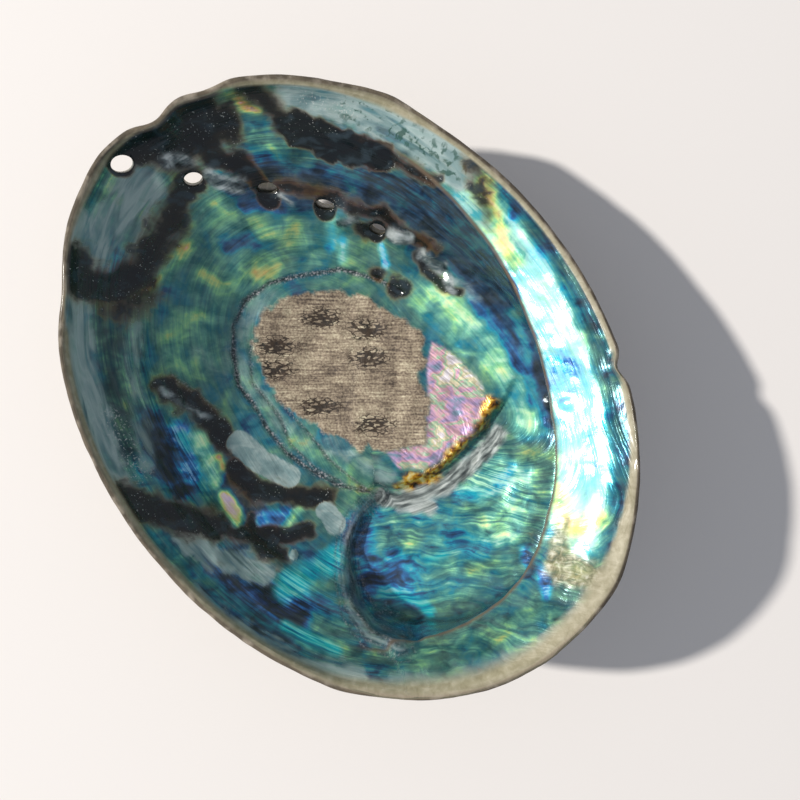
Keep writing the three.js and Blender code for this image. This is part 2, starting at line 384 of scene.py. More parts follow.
# %% [markdown]
# ## Brushes
# The marks on a shell sit in places that a maker points at: a patch here, a seam there. A brush is a chain of
# points in plan, with a width and a soft edge, and it gives every point of the mesh a strength from 0 to 1. A
# patch is a closed chain, filled. Three more numbers say where a point lies on the animal's own clock: how far
# below the rim it grew inside, how old it is on the back, and where it lies across the muscle.

# %% Brushes, patches and noise
plan = points[:, :2].copy()
inside = smooth(RIM_SPAN - place, -0.1, 0.3)
share = radius / ellipse_radius(deg)
growth = ellipse_radius(deg) * (1 - share) + rim_height(deg) - height
MUSCLE_TURN = math.radians(52)  # the muscle's stripes run this way
ALONG = np.array([math.cos(MUSCLE_TURN), math.sin(MUSCLE_TURN)])
ACROSS = np.array([-math.sin(MUSCLE_TURN), math.cos(MUSCLE_TURN)])
across = plan @ ACROSS
along = plan @ ALONG


def distance(chain):
    """Plan distance from every point of the mesh to a chain of points, in millimetres."""
    chain = np.array(chain, float)
    best = np.hypot(*(plan - chain[0]).T)
    for start, end in zip(chain[:-1], chain[1:]):
        leg = end - start
        t = np.clip(((plan - start) @ leg) / (leg @ leg), 0, 1)
        best = np.minimum(best, np.hypot(*(plan - start - t[:, None] * leg).T))
    return best


def brush(chain, width, soft, rough=0.45):
    """Strength along a chain. rough is how far its edge wanders, as a share of the width."""
    edge = distance(chain) + ragged * min(width, 2) * rough
    return 1 - smooth(edge, width - soft / 2, width + soft / 2)


def depth_in(chain):
    """Signed distance to a closed chain: above 0 inside it, below 0 outside."""
    inner = np.zeros(len(plan), bool)
    x, y = plan.T
    for (ax, ay), (bx, by) in zip(chain, chain[1:] + chain[:1]):
        crosses = (ay > y) != (by > y)
        inner ^= crosses & (x < (bx - ax) * (y - ay) / (by - ay + 1e-9) + ax)
    edge = distance(chain + chain[:1])
    return np.where(inner, edge, -edge)


def grit(cells, octaves=3):
    """Fractal noise of about -1 to 1. cells holds each point's place in units of the largest lumps."""
    return np.array([noise.fractal(Vector(c), 1.0, 2.0, octaves) for c in cells]) / 0.9


ragged = grit(points / 3.2)
ripples = grit(np.c_[growth / 6.5, plan / 24]) * smooth(share, 0.05, 0.3)
lumps = grit(points / 10 + 40)
for name, field_of in [("ragged", ragged), ("ripples", ripples), ("lumps", lumps)]:
    print("noise", name, "spreads", round(float(field_of.std()), 2))

# %% [markdown]
# ## Where the animal was fixed
# The foot's muscle left an oval scar on the floor: a rough, chalky platform with a beaded seam round it. The
# seam is doubled on the growing side, where the muscle moved on and left its older edge behind.

# %% Scar, seams and fold
SCAR = [(-28, -7), (-28, -1), (-25, 5), (-19, 13), (-13, 17), (-7, 19), (0, 21), (6, 18), (9, 14), (15, 12),
        (17, 9), (22, 5), (20, -1), (16, -5), (13, -9), (6, -12), (-2, -15), (-8, -17), (-16, -16), (-23, -13)]
RING = [(23, -13), (17, -18), (10, -21), (3, -23), (-5, -23), (-11, -22), (-17, -22), (-24, -18), (-29, -14),
        (-32, -8), (-32, -1), (-29, 6), (-24, 15), (-16, 21), (-11, 23)]
RING_2 = [(-24, -13), (-16, -19), (-5, -19), (2, -21), (10, -20), (17, -17)]
RING_3 = [(-10, -17), (3, -16), (11, -16), (20, -14), (25, -12)]
GOLD_RIDGE = [(26, -7), (28, -2), (29, 4), (28, 11), (27, 18), (24, 25)]
SCAR_FRONT = [(3, 22), (9, 24), (17, 25), (25, 24), (27, 16), (28, 8), (27, 1), (23, -4), (18, -4), (21, 4),
              (16, 11), (10, 15), (6, 18)]
LOOP = [(25, -12), (26, -19), (29, -24), (34, -28), (40, -30.5), (46, -30), (52, -26)]
LOOP_FOOT = [(28, -14), (29, -19), (31, -23), (36, -26), (41, -28), (47, -27.5), (53, -22)]

scar_depth = depth_in(SCAR)
front_depth = depth_in(SCAR_FRONT)
ring = brush(RING, 0.55, 0.9)
rings = np.maximum(ring, 0.8 * np.maximum(brush(RING_2, 0.35, 0.7), brush(RING_3, 0.35, 0.7)))
ridge = brush(GOLD_RIDGE, 0.9, 2.8)
bowl_side = inside * smooth(growth, 16, 22)  # the floor only, so that no mark climbs the wall above it

# %% [markdown]
# ## The row of pores
# An abalone breathes through a row of holes. New ones open at the growing edge and old ones are plugged with
# pearl, so five are open and two are healed over. Behind each lies a lens-shaped swelling.

# %% Pores
# middle, half axes, turn of the ellipse, lean of its axis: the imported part's own holes
PORES = [
    ((-66.2, -9.0, 34.0), (2.4, 1.9), 60, (-0.6, -0.1)),
    ((-56.5, 0.6, 27.5), (2.1, 1.6), 60, (-0.52, 0.05)),
    ((-45.5, 11.6, 22.5), (2.3, 1.5), 45, (-0.85, 0.5)),
    ((-36.2, 20.4, 19.0), (2.3, 1.3), 40, (-0.4, 0.3)),
    ((-24.9, 26.8, 16.0), (2.0, 1.4), 35, (-0.3, 0.4)),
]
PORE_DEPTH = 30
PLUGGED = [(-15, 32), (-8, 34.5)]
LENSES = [((-60, -5), 2.0, 0.5), ((-54, 6), 3.4, 1.0), ((-42, 15), 2.4, 0.5), ((-31.5, 23), 2.6, 0.8),
          ((-21, 30.5), 2.8, 0.9), ((-13, 34), 2.4, 0.8), ((-5, 35), 3.0, 0.9), ((1, 36), 2.2, 0.5)]


def near(centre, reach):
    return np.exp(-(np.hypot(*(plan - np.array(centre)).T) / reach) ** 2)


funnel = sum(near(place_of[:2], 1.7 * half[0]) for place_of, half, _, _ in PORES)
plugs = sum(near(centre, 1.6) for centre in PLUGGED)
lens = sum(height_of * near(centre, reach) for centre, reach, height_of in LENSES)

# %% [markdown]
# ## Relief
# Everything that stands up or sinks in is moved along the skin's own normal, so thin walls stay thin and
# nothing folds over. Inside: slow ripples laid down with growth, wrinkles across the shelf, the scar's step.

# %% Relief inside and on the rim
rim_near = smooth(share, 0.86, 0.97)
shelf = inside * smooth(place, 6.9, 7.5) * smooth(np.cos(np.radians(deg - 48)), -0.1, 0.25)
turned_deg = np.mod(deg + 180, 360) - 180
past_step = share > follow(PLATFORM_EDGE[:, 0], PLATFORM_EDGE[:, 1], turned_deg)
past_fold = deg > follow(*FOLD_LINE.T, np.clip(share, 0.3, 1))
cavity = inside * np.where(turned_deg < 0, past_fold, past_step * (1 - smooth(turned_deg, 10, 45)))
wrinkles = grit(np.c_[along / 12, across / 6, growth / 5] + 9)
edge_chips = grit(np.c_[deg / 8, place, 0 * deg])
move = inside * (0.2 * ripples + 0.3 * lumps + 0.13 * ragged) * (1 - 0.6 * rim_near)
move += shelf * (0.11 * wrinkles + 1.1 * np.exp(-((place - 8.1) / 0.5) ** 2))
move += bowl_side * (0.5 * smooth(scar_depth, -1.2, 1.2) + 0.25 * smooth(front_depth, -1, 1))
move += bowl_side * (0.6 * ridge - 0.35 * rings)
move += inside * (lens - 1.0 * funnel - 0.5 * plugs) + 0.3 * inside * brush(LOOP, 0.5, 1.4)
move -= cavity * 0.9 * brush(LOOP_FOOT, 1.0, 3.0)
move += bowl_side * 0.7 * (brush([(33, 35)], 1.2, 1.6) + brush([(23, -35)], 0.8, 1.4))
move += smooth(share, 0.94, 1) * smooth(place, 8.6, 9.2) * smooth(-place, -12, -10.6) * 0.16 * edge_chips

# %% [markdown]
# The back grew at its edge, one thin ledge after another. Every point of it lies on the outline that the shell
# had at some age, shrunk towards the spire. Solving for that shrink gives each point its age, and ledges,
# folds and colour bands all follow it.

# %% Relief on the back
SPIRE = np.array([50.0, -6.0])
LEDGES = 17
semi = np.array([LENGTH / 2, WIDTH / 2])
reach = (plan - SPIRE) / semi
start = SPIRE / semi
square, slope, rest = (reach**2).sum(1) + 1e-9, 2 * reach @ start, (start**2).sum() - 1
grown = (np.sqrt(slope * slope - 4 * square * rest) - slope) / (2 * square)
age = 1 / grown  # 0 at the spire, 1 at the growing edge
back_slow = grit(points / 16 + 70)
back_crust = grit(points / 2.6 + 15, 4)
ledge = np.mod(age * LEDGES + 0.35 * back_slow, 1)
ledges = smooth(ledge, 0, 0.75) * (1 - smooth(ledge, 0.8, 1))
from_spire = np.hypot(*(plan - SPIRE).T) + 0.3
whorl = np.mod(np.log(from_spire) / 0.62 - np.arctan2(*(plan - SPIRE).T[::-1]) / (2 * math.pi), 1)
groove = smooth(abs(whorl - 0.5), 0.36, 0.5) * smooth(-from_spire, -24, -8)
PORE_RIDGE = [(-66, -9), (-57, 0), (-46, 11), (-37, 20), (-25, 27), (-10, 34), (10, 37), (30, 33), (45, 23),
              (54, 10)]
PORE_SPACING = 10.5
pore_ridge = 1 - smooth(distance(PORE_RIDGE), 0, 6)
beads = 0.5 + 0.5 * np.cos(plan @ np.array([0.66, 0.5]) * 2 * math.pi / PORE_SPACING)
folds = grit(np.c_[age * 3.0, deg / 11, 0 * deg] + 3)
outer = smooth(place, 10.2, 11.6)
fade = outer * (1 - 0.75 * smooth(share, 0.93, 1.0))
move_back = 0.75 * (ledges - 0.5) + 0.9 * folds * smooth(age, 0.2, 0.6) + 0.35 * back_crust + 0.5 * back_slow
move_back += pore_ridge * (0.7 + 0.9 * beads) - 1.1 * groove
wall_room = smooth(points[:, 2], 1.0, 7.0)
move += fade * move_back * (0.25 + 0.75 * wall_room) - fade * 0.5 * (1 - wall_room)

points = points + move[:, None] * normals_of(shell)
points[:, 2] = np.maximum(points[:, 2], 0)
box = np.array(cad_box) / MM
ROOM = 0.6  # the relief may pass the part's box by this much
points = np.clip(points, box[0] - ROOM, box[1] + ROOM)
points[:, 2] = np.maximum(points[:, 2] - points[:, 2].min(), 0)
put(shell, points)
print("relief from", round(float(move.min()), 2), "to", round(float(move.max()), 2), "mm")

# %% [markdown]
# ## Colour fields
# Mother-of-pearl has no pigment. Its colour is light from thin layers, and the layers' thickness drifts, so
# blue slides into green and gold. One field, film, says how far along that slide a place is. Another sets the
# brightness: besides its own drift it holds painted highlights where the pearl mirrors the lamp and painted
# shade on walls that turn away from it. Milk is pearl too thick to show fire, and beside the rim on the lamp's
# side it is also a painted reflection of the sky. Horn is the dark protein the animal lays down at its wounds
# and edges.

# %% Fields: film and brightness, with painted light
film = 0.38 + 0.10 * grit(points / 20 + 5) + 0.05 * lumps
brightness_and_painted_light = 0.42 + 0.10 * grit(points / 14 + 25)


def tinted(chain, width, soft, film_to, brightness_to, strength=1.0):
    """Film and brightness (painted light too), drawn towards new values along a chain. strength may be a mask.
    """
    amount = inside * strength * brush(chain, width, soft)
    return mix(film, film_to, amount), mix(brightness_and_painted_light, brightness_to, amount)


# Columns: chain, width, soft edge, film, brightness and sometimes a strength. A brightness above 1 paints a
# highlight, such as the glints below the pores and bright patches on the floor and in the cavity. A low one
# paints shade on the walls that turn away from the lamp.
for touch in [  # chain, width, soft edge, film, glow and sometimes a strength
    ([(-53, -1), (-41, -5), (-32, -21), (-37, -14), (-43, 0), (-30, -25)], 5, 9, 0.47, 0.6),
    ([(-46, 4), (-40, 6), (-34, 12), (-27, 16)], 3.5, 6, 0.49, 0.65),
    ([(-38, 12), (-33, 4), (-36, -2)], 2, 5, 0.66, 0.5, 0.7),
    ([(-46, -31), (-37, -38), (-28, -43), (-18, -47)], 2.2, 3, 0.38, 0.14),
    ([(-50, -36), (-40, -43), (-28, -49), (-16, -54)], 1.0, 2, 0.3, 0.2),
    ([(-44, -3), (-41, 2)], 1.5, 3, 0.16, 0.3),
    ([(-52, 10), (-44, 18), (-34, 28), (-24, 37)], 4, 6, 0.16, 0.2),
    ([(-22, 38), (-13, 39), (-2, 40), (9, 40), (19, 38), (29, 35), (37, 30)], 4, 5, 0.13, 0.22),
    ([(-5, 29), (4, 31), (13, 32), (23, 31), (34, 28)], 3.6, 4, 0.49, 1.35),
    ([(-11, 25), (0, 27), (10, 28)], 2.5, 3, 0.46, 0.9),
    ([(2, 35), (12, 36), (22, 34)], 1.3, 2, 0.22, 0.75),
    ([(-22, -40), (-15, -43), (-8, -44)], 2, 3, 0.08, 0.22),
    ([(-6, -34), (0, -37), (10, -37), (16, -34)], 3.2, 4, 0.12, 0.16),
    ([(-14, -41), (-4, -44)], 1.5, 3, 0.14, 0.3),
    ([(-16, -38), (-11, -39), (-6, -41)], 1.6, 2.4, 0.22, 1.5),
    ([(-12, -36), (-8, -37), (-2, -39)], 1.7, 2.4, 0.5, 1.4),
    ([(2, -39), (9, -40)], 1.2, 1.8, 0.68, 1.5),
    ([(12, -36), (15, -31)], 1.6, 2.2, 0.22, 1.3),
    ([(17, -33), (16, -29)], 1.2, 2, 0.52, 1.1),
    ([(16, -47), (23, -46), (31, -42), (38, -38), (46, -33), (51, -28)], 4.6, 4, 0.07, 0.5),
    ([(12, -51), (24, -48), (37, -43), (46, -37)], 1.6, 2.5, 0.24, 0.4),
    ([(28, -38), (29, -33), (30, -28)], 2.6, 3.0, 0.32, 1.3),
    ([(31, -15), (42, -9), (49, 1), (41, -17), (52, -11)], 7, 9, 0.34, 0.7),
    ([(28, -20), (35, -24), (44, -26), (50, -22), (41, -19)], 3.5, 5, 0.17, 0.75),
    ([(33, -12), (42, -12), (50, -8)], 2.5, 4, 0.40, 0.75),
    ([(44, -25), (49, -20.5), (54, -18.5)], 1.1, 1.5, 0.29, 1.35),
    ([(37, 8), (39, 15), (43, 18), (48, 13), (50, 5)], 3.6, 4, 0.45, 1.3),
    ([(38, 4), (42, 10), (40, 18)], 1.5, 2.5, 0.36, 1.5),
    ([(53, -5), (55, 0)], 1.2, 3, 0.66, 0.5, 0.7),
    ([(10, 41), (20, 38), (31, 31)], 1.0, 1.6, 0.30, 0.7),
    ([(40, -38), (53, -26), (59, -17), (62, -7), (63, 2)], 4.4, 5, 0.43, 0.42),
    ([(57, 8), (61, 6)], 1.2, 1.6, 0.24, 1.5),
    ([(-28, 19), (-26, 17)], 1.2, 1.8, 0.34, 1.5),
    ([(-33, 20), (-29, 17)], 1.5, 3, 0.34, 1.1),
    ([(-22, 26), (-18, 24)], 0.9, 1.4, 0.26, 1.5),
    ([(-47, 6), (-43, 12)], 1.2, 2.0, 0.16, 0.7),
    ([(-48, -10), (-46, -18), (-45, -26)], 0.9, 3, 0.71, 0.9),
    ([(-61, 19), (-58, 21)], 0.9, 2, 0.71, 1.1),
    ([(-14, -56), (-10, -55), (-4, -54)], 0.9, 2, 0.71, 1.0),
    ([(-6, -35), (-3, -36)], 0.9, 2, 0.70, 0.9),
    ([(-20, -20), (-8, -21), (4, -19), (16, -15)], 2, 2.5, 0.46, 0.6),
]:
    film, brightness_and_painted_light = tinted(*touch)

# %% [markdown]
# The shelf gets a painted highlight next to its lip, where it faces the lamp, painted shade along the rim, and
# painted shade over its own foot under the lip. These follow the section curve and not a brush, because the lip
# runs all along the growing edge.

# %% Painted highlight and shade on the shelf
facing = smooth(np.cos(np.radians(deg - 50)), -0.05, 0.3) * inside
towards_lamp = inside * smooth(deg, 10, 22) * (1 - smooth(deg, 98, 124))
# Painted highlight on the shelf next to its lip, on the side that faces the lamp.
painted_shelf_highlight = towards_lamp * smooth(place, 6.95, 7.15) * (1 - smooth(place, 8.1, 8.6))
film = mix(film, 0.46 + 0.12 * lumps + 0.1 * wrinkles, 0.7 * painted_shelf_highlight)
brightness_and_painted_light = mix(brightness_and_painted_light, 2.8 + 0.8 * wrinkles, 0.85 * painted_shelf_highlight)
# Painted shade: the outer shelf along the rim is made darker.
painted_outer_shelf_shade = towards_lamp * smooth(place, 8.1, 8.7)
film, brightness_and_painted_light = mix(film, 0.28, 0.7 * painted_outer_shelf_shade), mix(brightness_and_painted_light, 0.28 + 0.2 * wrinkles, 0.9 * painted_outer_shelf_shade)
# Painted shade over the wall under the shelf's lip.
painted_shade_under_shelf = facing * smooth(place, 3.6, 4.6) * (1 - smooth(place, 6.85, 7.0))
film, brightness_and_painted_light = mix(film, 0.2, 0.8 * painted_shade_under_shelf), mix(brightness_and_painted_light, 0.16, 0.88 * painted_shade_under_shelf)
lip_line = facing * np.exp(-(((place - 6.97) / 0.13) ** 2))
on_shelf = smooth(place, 6.9, 7.1)
film, brightness_and_painted_light = tinted([(-17, 50), (-11, 49), (-3, 46), (2, 45)], 1.8, 3, 0.67, 1.5, on_shelf)
film, brightness_and_painted_light = tinted([(47, 21), (52, 18), (55, 20), (55, 24)], 1.9, 2.6, 0.63, 1.5, on_shelf)
print("film from", round(float(film.min()), 2), "to", round(float(film.max()), 2))

# %% [markdown]
# ## Milk
# Where the pearl grew thick and uneven it scatters light and turns milky. It lies in strips beside the rim and
# in a few ovals on the floor, which have a clean edge. The strips beside the rim on the lamp's side, where the
# wall turns away from the lamp, are also made paler as a painted reflection of the sky.

# %% Milky pearl
milk_and_painted_sky = 0.12 + 0 * film
for chain, width, soft, strength in [
    ([(-61, -9), (-58, -14), (-57, -20), (-56, -26)], 4.2, 4.5, 1.1),
    ([(-63, -3), (-60, 3)], 1.8, 2.4, 0.9),
    ([(-40, -30), (-33, -36), (-24, -41), (-13, -46)], 1.4, 2.6, 0.6),
    ([(-62, -24), (-56, -31), (-47, -38), (-35, -44.5), (-25, -49), (-14, -53)], 3.0, 3.0, 1.2),
    ([(-6, -30), (1, -29), (8, -26)], 2.6, 1.0, 2.0),
    ([(20, -24), (24, -24)], 2.2, 0.8, 2.0),
    ([(4, -48), (12, -47), (17, -43), (22, -41)], 2.2, 1.8, 1.1),
    ([(8, -43), (14, -44)], 1.6, 2.0, 0.6),
    ([(23, -35)], 0.9, 0.7, 2.0),
    ([(8, -14), (14, -11), (20, -8), (23, -7)], 2.2, 2.5, 0.5),
    ([(-30, -2), (-28, -12), (-20, -19), (-8, -20), (4, -18)], 1.8, 3.0, 0.45),
    ([(-56, 29), (-49, 36), (-39, 42), (-29, 46), (-21, 48)], 3.6, 3.0, 1.4),
    ([(56, -31), (62, -22), (66, -11), (68, 0)], 2.0, 2.6, 0.7),
    ([(0, -56), (13, -54), (27, -50), (40, -44), (51, -36)], 1.9, 2.0, 1.0),
    ([(-29, -15), (-26, -17), (-20, -24), (-29, -24)], 1.5, 4.0, 0.35),
    ([(-4, 35), (2, 36)], 1.2, 2.0, 0.6),
]:
    edge_wander = 0.45 if strength < 2 else 0.12
    milk_and_painted_sky = np.maximum(milk_and_painted_sky, strength * brush(chain, width, soft, edge_wander))

# %% [markdown]
# ## Horn
# The animal seals wounds and worms with dark protein. It runs in bands from the rim down into the bowl and
# rings the pores. Its edge is wide and soft, because a thin layer lets the pearl shine through. It stays off
# the milky ovals and off the swellings behind the pores, which were laid down later.

# %% Horn
HORN_PATCH = [(-56, 23), (-52, 29), (-48, 31), (-41, 36), (-35, 40),
              (-31, 38), (-34, 34), (-41, 28), (-48, 23), (-53, 21)]
horn = smooth(depth_in(HORN_PATCH) + ragged * 0.9, -1.0, 1.2)
for chain, width, soft, strength in [
    ([(-67, -5), (-66, 0), (-65, 6), (-64, 12)], 3.0, 2.4, 1),
    ([(-63, -1), (-62, 4), (-62, 10), (-60, 14)], 3.0, 2.6, 0.95),
    ([(-63, 6), (-58, 7), (-52, 12), (-49, 12)], 2.2, 1.8, 1),
    ([(-57, 1), (-56, -4), (-53, -10), (-51, -16), (-48, -23)], 2.4, 3.0, 0.95),
    ([(-48, -23), (-49, -28), (-52, -32), (-56, -30)], 3.4, 3.0, 1),
    ([(-45, -24), (-44, -30)], 2.6, 4.0, 0.75),
    ([(-61, 22), (-57, 24), (-54, 24)], 2.6, 2.4, 0.8),
    ([(-11, -55), (-8, -54)], 1.2, 1.5, 0.45),
    ([(-53, -33), (-50, -35)], 1.2, 1.5, 0.45),
    ([(-35, 38), (-29, 40), (-23, 43)], 0.9, 1.0, 0.8),
    ([(-46, 15), (-40, 21), (-36, 24)], 1.4, 1.8, 0.8),
    ([(-32, 25), (-27, 30), (-20, 32), (-13, 35)], 1.3, 1.4, 0.9),
    ([(-28, 24), (-24, 28)], 1.6, 1.4, 0.9),
    ([(-15, 31), (-10, 31), (-5, 32), (-2, 34)], 1.0, 1.0, 0.95),
    ([(-18, 21)], 1.5, 1.6, 0.9),
    ([(-12, 23), (-11, 24)], 2.2, 1.6, 0.95),
    ([(-26, -34), (-22, -33), (-14, -32), (-9, -32)], 2.2, 2.0, 1),
    ([(-11, -35), (-6, -33)], 1.2, 2.0, 0.7),
    ([(-11, -53), (-6, -51), (1, -47), (8, -43)], 2.5, 2.2, 1),
    ([(8, -43), (14, -39), (21, -37)], 2.0, 2.4, 0.9),
    ([(-1, -34), (5, -34), (9, -31), (13, -27), (17, -22)], 2.4, 2.0, 0.95),
    ([(12, -38), (18, -35), (21, -30)], 2.0, 1.8, 0.95),
    ([(-20, 51), (-15, 49), (-10, 47)], 2.4, 3.0, 0.75),
    ([(55, 12), (57, 10)], 0.6, 1.2, 0.5),
]:
    horn = np.maximum(horn, strength * brush(chain, width, 1.4 + 1.9 * soft))
horn = np.maximum(horn, 0.95 * smooth(funnel, 0.45, 0.8))
for chain, width, soft in [
    ([(-6, -30), (1, -29), (8, -26)], 2.6, 0.8),
    ([(20, -24), (24, -24)], 2.2, 0.8),
    ([(23, -35)], 1.0, 0.8),
    ([(12, -36), (15, -32)], 1.4, 2.4),
    ([(17, -32), (16, -29)], 0.9, 2.4),
    ([(2, -39), (9, -40)], 1.1, 2.4),
    ([(-12, -36), (-2, -38)], 1.4, 2.4),
]:
    horn *= 1 - brush(chain, width, soft, 0.12)
lens_tops = sum(near(centre, 0.55 * reach_of) for centre, reach_of, _ in LENSES)
horn *= inside * (1 - 0.85 * np.clip(lens_tops, 0, 1))
print("horn covers", round(float((horn * inside > 0.5).sum() / (inside > 0.5).sum()), 3), "of the inside")

# %% [markdown]
# ## Painted reflections and glints
# The swellings behind the pores are polished, and a painted reflection of the sky lies on them. A few places
# have a painted glint of the lamp in one pure blue-green, which the slide of pearl colours doesn't reach.

# %% Painted reflections and glints
painted_sky_reflection = 0 * film
for chain, width, soft in [
    ([(-62, -2), (-60, 2)], 1.2, 1.6),
    ([(-55, 4), (-51, 8)], 1.5, 1.2),
    ([(-44, 14), (-42, 15)], 0.7, 1.0),
    ([(-32, 21), (-30, 25)], 0.7, 0.8),
    ([(-22, 29), (-19, 32)], 1.3, 1.0),
    ([(-14, 32), (-9, 34)], 1.4, 1.4),
    ([(-6, 34), (-3, 33)], 1.0, 1.4),
    ([(-26, -35), (-20, -34), (-14, -31)], 0.6, 0.8),
]:
    painted_sky_reflection = np.maximum(painted_sky_reflection, 0.9 * inside * brush(chain, width, soft))

# Painted glints of the lamp in pure blue-green.
painted_glint = 0 * film
for chain, width, soft in [
    ([(27, -39), (29, -34), (30, -28)], 2.4, 3.0),
    ([(44, -25), (49, -20.5), (54, -18.5)], 1.0, 1.4),
    ([(33, -43), (38, -40.5), (44, -37)], 0.8, 1.4),
    ([(-15, -38), (-11, -39)], 0.7, 1.4),
    ([(38, 5), (41, 9)], 0.9, 2.0),
    ([(45, -12), (46, -8)], 0.8, 2.0),
]:
    painted_glint = np.maximum(painted_glint, inside * brush(chain, width, soft))

# %% [markdown]
# ## Scar, seams, gold and the grey wall
# The scar is dull because fibres were rooted in it, and dark cracks branch where they tore out. Beside it lies
# the newest strip, pink and rayed, then the golden ridge and the grey wall of the cavity.

# %% Scar, seams, gold and grey wall
HATCHES = [(-18, 4), (-9, 11), (-19, -9), (-15, -13), (-3, 7), (-1, -10), (11, -2)]
hatch = 0 * film
for x, y in HATCHES:  # each cluster is long along the stripes and short across them
    off_along, off_across = along - ALONG @ (x, y), across - ACROSS @ (x, y)
    hatch = np.maximum(hatch, np.exp(-((off_along / 4.6) ** 2) - (off_across / 2.3) ** 2))
scar = bowl_side * smooth(scar_depth + 1.3 * ragged, -0.3, 0.5)
front = bowl_side * smooth(front_depth + 0.3 * ragged, -0.4, 0.8) * (1 - scar)
seam = bowl_side * np.maximum(rings, 0)
seam = np.maximum(seam, inside * 0.85 * brush(LOOP, 0.3, 0.7))
from_loop = distance(LOOP) + 0.25 * ragged
for ledge_at in (1.5, 2.7):
    seam = np.maximum(seam, 0.6 * inside * np.exp(-(((from_loop - ledge_at) / 0.28) ** 2)))
seam = np.maximum(seam, bowl_side * 0.75 * brush([(-27, -32), (-22, -31), (-15, -30)], 0.9, 1.2))
TAN = [(50, 19), (53, 13), (57, 8), (60, 8), (63, 12), (68, 15), (67, 19), (61, 18), (56, 16), (52, 21)]
tan = 0.85 * inside * smooth(place, 6.9, 7.1) * smooth(depth_in(TAN) + 0.9 * ragged, -0.8, 1.2)
GREY_WALL = [(28, -9), (33, -5), (36, 2), (36, 10), (35, 17), (33, 23), (29, 22), (31, 12), (31, 2), (28, -4)]
grey_wall = bowl_side * smooth(depth_in(GREY_WALL) + 0.4 * ragged, -0.6, 0.8)
grey_wall = np.maximum(grey_wall, bowl_side * brush([(26, -12), (30, -9), (35, -4)], 2.2, 1.4))
grey_wall = np.maximum(grey_wall, 0.55 * inside * brush(LOOP, 1.3, 2.4))
gold = bowl_side * np.maximum.reduce([brush(GOLD_RIDGE, 1.0, 1.6, 0.9),
                                      brush([(27, -5), (28.5, 1)], 1.9, 1.8, 0.9),
                                      brush([(26.5, 19), (24.5, 24)], 1.6, 1.8, 0.9)])
print("scar covers", round(float((scar > 0.5).sum() / (inside > 0.5).sum()), 3), "of the inside")

# %% [markdown]
# ## Opening the pores
# The fields are kept for every point before any hole is cut. Five leaning bars with an oval section are then
# subtracted in one step, and each point of the cut mesh takes its fields from the nearest point it had before.

# %% Cut the pores
bpy.ops.object.select_all(action="DESELECT")
bars = []
for middle, half, turned, lean in PORES:
    bpy.ops.object.select_all(action="DESELECT")
    out = Vector((lean[0], lean[1], -1)).normalized()
    bpy.ops.mesh.primitive_cylinder_add(vertices=40, radius=MM, depth=PORE_DEPTH * MM)
    bar = bpy.context.object
    bar.data.transform(Matrix.Diagonal((half[0], half[1], 1, 1)))
    bar.data.transform(Matrix.Rotation(math.radians(turned), 4, "Z"))
    bar.data.transform(Vector((0, 0, -1)).rotation_difference(out).to_matrix().to_4x4())
    bar.data.transform(Matrix.Translation(Vector(middle) * MM))
    bar.location = (0, 0, 0)
    bars.append(bar)
bpy.ops.object.select_all(action="DESELECT")
for bar in bars:
    bar.select_set(True)
bpy.context.view_layer.objects.active = bars[0]
bpy.ops.object.join()
cutter = bpy.context.object

bpy.ops.object.select_all(action="DESELECT")
shell.select_set(True)
bpy.context.view_layer.objects.active = shell
cut = shell.modifiers.new("pores", "BOOLEAN")
cut.operation = "DIFFERENCE"
cut.solver = "EXACT"
cut.object = cutter
bpy.ops.object.modifier_apply(modifier=cut.name)
bpy.data.objects.remove(cutter)

tree_of_points = kdtree.KDTree(len(points))
for i, point in enumerate(points):
    tree_of_points.insert(point, i)
tree_of_points.balance()
cut_points = np.empty(len(shell.data.vertices) * 3)
shell.data.vertices.foreach_get("co", cut_points)
cut_points = cut_points.reshape(-1, 3) / MM
found = [tree_of_points.find(point) for point in cut_points]
nearest = np.array([hit[1] for hit in found])
away = np.array([hit[2] for hit in found])
triangles = sum(len(face.vertices) - 2 for face in shell.data.polygons)
print("with pores:", len(cut_points), "points,", triangles, "triangles")
print("farthest new point", round(away.max(), 2), "mm from an old one")

# %% [markdown]
# ## Fields onto the mesh
# An image would need a layout and seams. An attribute sits on the points themselves, so each field is stored
# as one, and the material reads it by name. Growth lines run along the rim in the bowl and straight across in
# the cavity, and the vector flow joins the two.

# %% Store the fields on the mesh
bowl_flow = np.c_[growth, plan / 12]
cavity_flow = np.c_[across + 45 + 2.2 * lumps, plan / 14]
flow = mix(bowl_flow, cavity_flow, cavity[:, None])
wide_rim = 0.028 * smooth(np.cos(np.radians(deg + 55)), -0.2, 0.6)  # the rim is broader at the spire's end
lined = np.clip(smooth(growth, 34, 22) + cavity + 0.35, 0, 1) * (1 - 0.7 * painted_shelf_highlight)
speck = np.maximum(brush([(-26, -45), (-18, -47), (-12, -48)], 1.6, 2.5),
                   brush([(-54, 30), (-49, 34), (-45, 37)], 1.0, 1.8))
stored = {
    "film": film,
    "brightness_and_painted_light": brightness_and_painted_light,
    "milk_and_painted_sky": milk_and_painted_sky,
    "horn": horn,
    "scar": scar,
    "front": front,
    "seam": seam,
    "grey": grey_wall,
    "painted_sky_reflection": painted_sky_reflection,
    "painted_glint": 0.9 * painted_glint,
    "gold": gold,
    "hatch": hatch,
    "inner": smooth(RIM_SPAN - place, 0, 0.5),
    "rim": smooth(share + wide_rim, 0.966, 0.974) * smooth(place, 8.2, 8.8),
    "age": age,
    "crust": back_crust,
    "lined": lined,
    "lip": lip_line,
    "tan": tan,
    "from_ridge": np.minimum(distance(GOLD_RIDGE), distance(LOOP)),
    "speck": inside * speck,
    "moss": inside * brush([(-46, 37), (-38, 42), (-30, 45), (-22, 47)], 2.6, 3.0),
}
